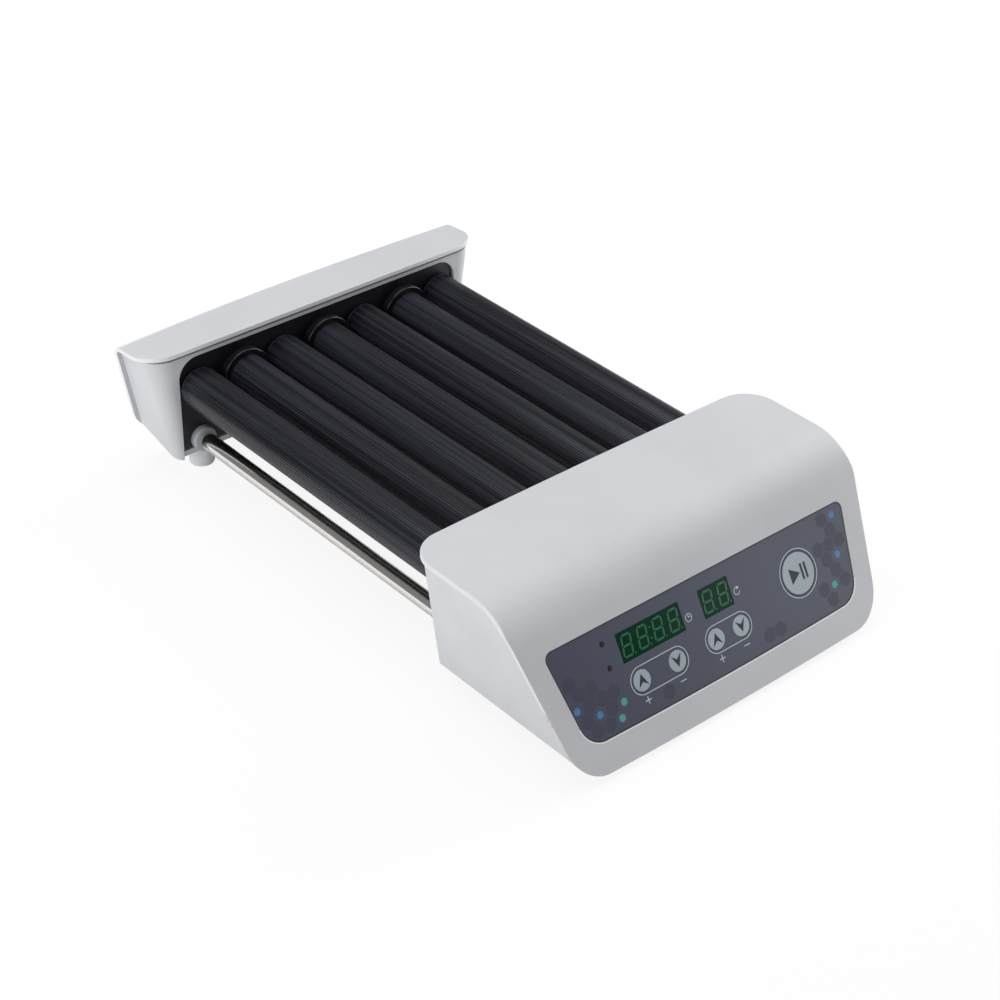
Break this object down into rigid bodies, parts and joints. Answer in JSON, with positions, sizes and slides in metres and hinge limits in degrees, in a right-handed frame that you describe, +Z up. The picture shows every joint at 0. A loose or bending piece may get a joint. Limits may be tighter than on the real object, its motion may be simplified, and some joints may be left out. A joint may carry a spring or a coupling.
{
  "type": "tube roller",
  "caption": "Low bench roller mixer: ribbed black rollers between a hooded control end with a sloping key panel and a flanged far end, joined by steel tie rods.",
  "frame": {"origin": "centre of the footprint on the bench top", "axes": "+X to the right when facing the key panel, +Y from the key panel to the far end along the rollers, +Z up"},
  "size_m": [0.2902, 0.465, 0.1038],
  "materials": {
    "cover_grey": "satin",
    "body_grey": "satin",
    "base_grey": "matt",
    "plate_black": "satin",
    "roller_black": "satin, fine lengthwise ribs",
    "axle_steel": "turned",
    "stop_black": "matt",
    "belt_rubber": "matt",
    "drum_plastic": "matt",
    "motor_metal": "satin",
    "bracket_metal": "plain sheet",
    "rod_steel": "polished",
    "bush_grey": "satin",
    "foot_rubber": "matt",
    "fascia_film": "satin film",
    "display_green": "dark green window",
    "lamp_dark": "dark lens",
    "key_pale": "satin film",
    "board_green": "board",
    "inlet_black": "matt",
    "switch_black": "matt",
    "rocker_black": "satin"
  },
  "bodies": {
    "base": {"control_cover": "cover_grey", "cap_cover": "cover_grey", "control_body": "body_grey", "cap_body": "body_grey", "control_base": "base_grey", "cap_base": "base_grey", "near_plate": "plate_black", "far_plate": "plate_black", "belt_1": "belt_rubber", "belt_2": "belt_rubber", "belt_3": "belt_rubber", "belt_4": "belt_rubber", "belt_5": "belt_rubber", "belt_6": "belt_rubber", "motor_belt": "belt_rubber", "gear_motor": "motor_metal", "motor_bracket": "bracket_metal", "left_rod": "rod_steel", "right_rod": "rod_steel", "left_rod_bush": "bush_grey", "right_rod_bush": "bush_grey", "foot_far_left": "foot_rubber", "foot_far_right": "foot_rubber", "foot_near_left": "foot_rubber", "foot_near_right": "foot_rubber", "foot_front_left": "foot_rubber", "foot_front_right": "foot_rubber", "fascia_panel": "fascia_film", "time_display": "display_green", "rpm_display": "display_green", "upper_lamp": "lamp_dark", "lower_lamp": "lamp_dark", "control_board": "board_green", "power_inlet": "inlet_black", "switch_housing": "switch_black"},
    "roller_1": {"roller_1_tube": "roller_black", "roller_1_axle": "axle_steel"},
    "roller_2": {"roller_2_tube": "roller_black", "roller_2_axle": "axle_steel", "stop_ring_2": "stop_black"},
    "roller_3": {"roller_3_tube": "roller_black", "roller_3_axle": "axle_steel"},
    "roller_4": {"roller_4_tube": "roller_black", "roller_4_axle": "axle_steel", "stop_ring_4": "stop_black"},
    "roller_5": {"roller_5_tube": "roller_black", "roller_5_axle": "axle_steel"},
    "roller_6": {"roller_6_tube": "roller_black", "roller_6_axle": "axle_steel", "stop_ring_6": "stop_black"},
    "roller_7": {"roller_7_tube": "roller_black", "roller_7_axle": "axle_steel"},
    "motor_drum": {"motor_drum": "drum_plastic"},
    "key_time_up": {"key_time_up": "key_pale"},
    "key_time_down": {"key_time_down": "key_pale"},
    "key_rpm_up": {"key_rpm_up": "key_pale"},
    "key_rpm_down": {"key_rpm_down": "key_pale"},
    "key_start": {"key_start": "key_pale"},
    "rocker": {"switch_rocker": "rocker_black"}
  },
  "joints": [
    {"name": "roller_1_spin", "type": "hinge", "parent": "base", "child": "roller_1", "pos_m": [-0.105, 0, 0.07], "axis": [0, 1, 0], "continuous": true},
    {"name": "roller_2_spin", "type": "hinge", "parent": "base", "child": "roller_2", "pos_m": [-0.07, 0, 0.07], "axis": [0, 1, 0], "continuous": true},
    {"name": "roller_3_spin", "type": "hinge", "parent": "base", "child": "roller_3", "pos_m": [-0.035, 0, 0.07], "axis": [0, 1, 0], "continuous": true},
    {"name": "roller_4_spin", "type": "hinge", "parent": "base", "child": "roller_4", "pos_m": [0, 0, 0.07], "axis": [0, 1, 0], "continuous": true},
    {"name": "roller_5_spin", "type": "hinge", "parent": "base", "child": "roller_5", "pos_m": [0.035, 0, 0.07], "axis": [0, 1, 0], "continuous": true},
    {"name": "roller_6_spin", "type": "hinge", "parent": "base", "child": "roller_6", "pos_m": [0.07, 0, 0.07], "axis": [0, 1, 0], "continuous": true},
    {"name": "roller_7_spin", "type": "hinge", "parent": "base", "child": "roller_7", "pos_m": [0.105, 0, 0.07], "axis": [0, 1, 0], "continuous": true},
    {"name": "motor_drum_spin", "type": "hinge", "parent": "base", "child": "motor_drum", "pos_m": [0, -0.13, 0.038], "axis": [0, 1, 0], "continuous": true},
    {"name": "key_time_up_press", "type": "slide", "parent": "base", "child": "key_time_up", "axis": [0, 0.8611, -0.5084], "range_m": [0, 0.0005], "stiffness_N_per_m": 600},
    {"name": "key_time_down_press", "type": "slide", "parent": "base", "child": "key_time_down", "axis": [0, 0.8611, -0.5084], "range_m": [0, 0.0005], "stiffness_N_per_m": 600},
    {"name": "key_rpm_up_press", "type": "slide", "parent": "base", "child": "key_rpm_up", "axis": [0, 0.8611, -0.5084], "range_m": [0, 0.0005], "stiffness_N_per_m": 600},
    {"name": "key_rpm_down_press", "type": "slide", "parent": "base", "child": "key_rpm_down", "axis": [0, 0.8611, -0.5084], "range_m": [0, 0.0005], "stiffness_N_per_m": 600},
    {"name": "key_start_press", "type": "slide", "parent": "base", "child": "key_start", "axis": [0, 0.8611, -0.5084], "range_m": [0, 0.0005], "stiffness_N_per_m": 600},
    {"name": "power_rocker", "type": "hinge", "parent": "base", "child": "rocker", "pos_m": [0.12714, -0.164, 0.04244], "axis": [0.1483, 0, 0.9889], "range_deg": [0, 14]}
  ],
  "couplings": [
    {"joint": "roller_1_spin", "follows": "roller_4_spin", "ratio": 1},
    {"joint": "roller_2_spin", "follows": "roller_4_spin", "ratio": 1},
    {"joint": "roller_3_spin", "follows": "roller_4_spin", "ratio": 1},
    {"joint": "roller_5_spin", "follows": "roller_4_spin", "ratio": 1},
    {"joint": "roller_6_spin", "follows": "roller_4_spin", "ratio": 1},
    {"joint": "roller_7_spin", "follows": "roller_4_spin", "ratio": 1},
    {"joint": "motor_drum_spin", "follows": "roller_4_spin", "ratio": 1}
  ]
}
